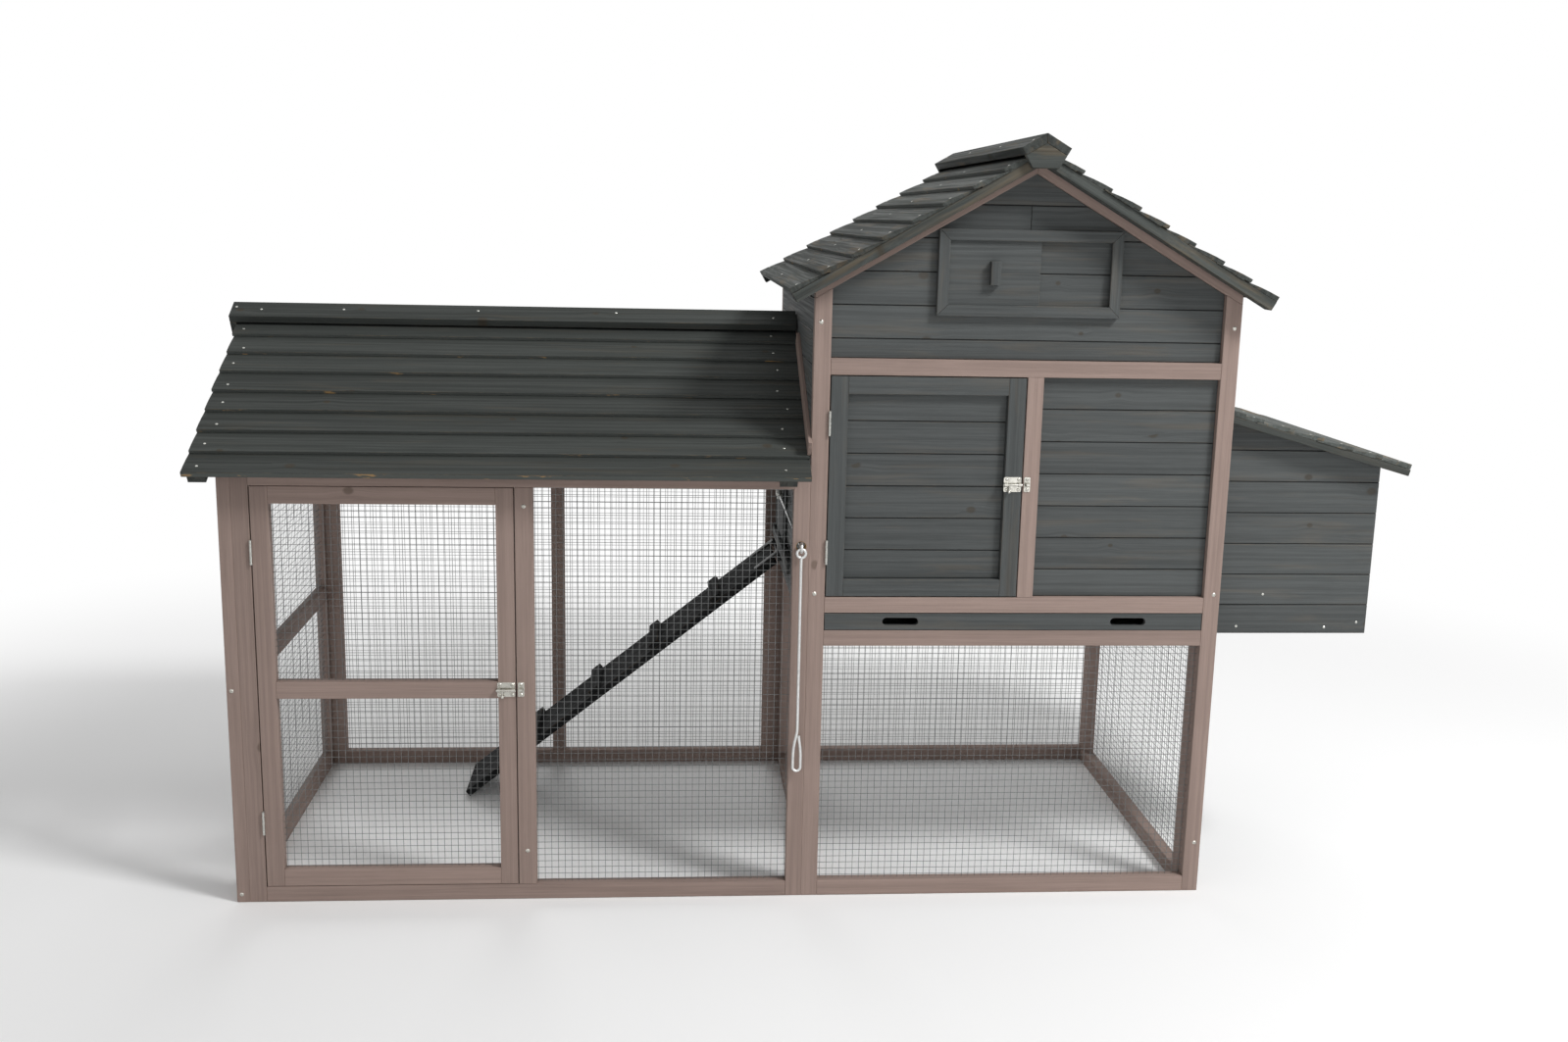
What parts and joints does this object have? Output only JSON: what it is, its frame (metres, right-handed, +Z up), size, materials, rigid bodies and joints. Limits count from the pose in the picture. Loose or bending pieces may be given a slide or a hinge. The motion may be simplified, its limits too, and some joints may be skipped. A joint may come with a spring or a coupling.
{
  "type": "chicken coop",
  "caption": "Raised timber hen house with a gabled netted run, side nest box, pull-out litter tray, sliding vent, ramp and a rod-drawn door between house and run.",
  "frame": {"origin": "on the ground, at the centre of the overall length and depth", "axes": "+X along the front from the run to the nest box, +Y from front to back, +Z up"},
  "size_m": [2.2689, 0.884, 1.4386],
  "materials": {
    "frame_paint": "matt brown paint over planed softwood",
    "board_paint": "matt slate grey stain over planed softwood",
    "roof_paint": "dark weathered stain over sawn softwood",
    "ramp_paint": "near-black stain over planed softwood",
    "perch_wood": "bare planed softwood",
    "net_wire": "galvanised welded wire",
    "zinc_hardware": "bright zinc plate",
    "black_steel": "black painted steel",
    "rod_steel": "bright drawn steel wire",
    "tray_metal": "galvanised sheet"
  },
  "bodies": {
    "coop": {"run_side_frame": "frame_paint", "run_front_frame": "frame_paint", "run_back_frame": "frame_paint", "run_gable_frame": "frame_paint", "run_gable_boards": "board_paint", "run_side_mesh": "net_wire", "front_mesh": "net_wire", "back_mesh": "net_wire", "run_roof_boards": "roof_paint", "run_roof_battens": "roof_paint", "run_ridge_cap": "roof_paint", "ridge_beams": "frame_paint", "house_front_frame": "frame_paint", "house_back_frame": "frame_paint", "house_left_frame": "frame_paint", "house_right_frame": "frame_paint", "front_siding": "board_paint", "gable_siding": "board_paint", "back_siding": "board_paint", "left_siding": "board_paint", "right_siding": "board_paint", "house_right_mesh": "net_wire", "house_roof_boards": "roof_paint", "house_roof_battens": "roof_paint", "house_ridge_cap": "roof_paint", "vent_frame": "board_paint", "vent_mesh": "net_wire", "hinge_leaves": "zinc_hardware", "hinge_pins": "zinc_hardware", "latch_keepers": "zinc_hardware", "tray_runners": "frame_paint", "perches": "perch_wood", "nest_walls": "board_paint", "nest_posts": "frame_paint", "nest_floor": "board_paint", "pop_door_rails": "board_paint", "ramp_hanger": "black_steel", "screws": "zinc_hardware"},
    "run_door": {"run_door_frame": "frame_paint", "run_door_mesh": "net_wire", "run_door_leaves": "zinc_hardware", "run_latch_case": "zinc_hardware"},
    "run_bolt": {"run_latch_bolt": "zinc_hardware"},
    "house_door": {"house_door_frame": "board_paint", "house_door_boards": "board_paint", "house_door_leaves": "zinc_hardware", "house_latch_case": "zinc_hardware"},
    "house_bolt": {"house_latch_bolt": "zinc_hardware"},
    "vent_slide": {"vent_slider": "board_paint"},
    "tray": {"tray_front": "board_paint", "tray_pan": "tray_metal"},
    "nest_lid": {"nest_lid_boards": "roof_paint", "nest_lid_battens": "roof_paint", "nest_lid_leaves": "zinc_hardware"},
    "pop_door": {"pop_door": "board_paint", "pull_rod": "rod_steel"},
    "pull_handle": {"pull_handle": "rod_steel"},
    "ramp": {"ramp_board": "ramp_paint", "ramp_cleats": "ramp_paint", "ramp_hooks": "black_steel"}
  },
  "joints": [
    {"name": "run_door_hinge", "type": "hinge", "parent": "coop", "child": "run_door", "pos_m": [-1.0214, -0.3875, 0.4], "axis": [0, 0, -1], "range_deg": [0, 120]},
    {"name": "run_bolt_slide", "type": "slide", "parent": "run_door", "child": "run_bolt", "axis": [1, 0, 0], "range_m": [0, 0.013]},
    {"name": "house_door_hinge", "type": "hinge", "parent": "coop", "child": "house_door", "pos_m": [0.0186, -0.3875, 0.8], "axis": [0, 0, -1], "range_deg": [0, 90]},
    {"name": "house_bolt_slide", "type": "slide", "parent": "house_door", "child": "house_bolt", "axis": [1, 0, 0], "range_m": [0, 0.013]},
    {"name": "vent_slide_x", "type": "slide", "parent": "coop", "child": "vent_slide", "axis": [1, 0, 0], "range_m": [0, 0.1335]},
    {"name": "tray_slide", "type": "slide", "parent": "coop", "child": "tray", "axis": [0, -1, 0], "range_m": [0, 0.7]},
    {"name": "nest_lid_hinge", "type": "hinge", "parent": "coop", "child": "nest_lid", "pos_m": [0.7745, 0, 0.95316], "axis": [0, -1, 0], "range_deg": [0, 75]},
    {"name": "pop_door_slide", "type": "slide", "parent": "coop", "child": "pop_door", "axis": [0, -1, 0], "range_m": [0, 0.205]},
    {"name": "handle_swing", "type": "hinge", "parent": "pop_door", "child": "pull_handle", "pos_m": [-0.0284, -0.398, 0.69], "axis": [-1, 0, 0], "range_deg": [0, 90]},
    {"name": "ramp_lift", "type": "hinge", "parent": "coop", "child": "ramp", "pos_m": [-0.0274, 0.2275, 0.551], "axis": [0, 1, 0], "range_deg": [0, 30]}
  ]
}
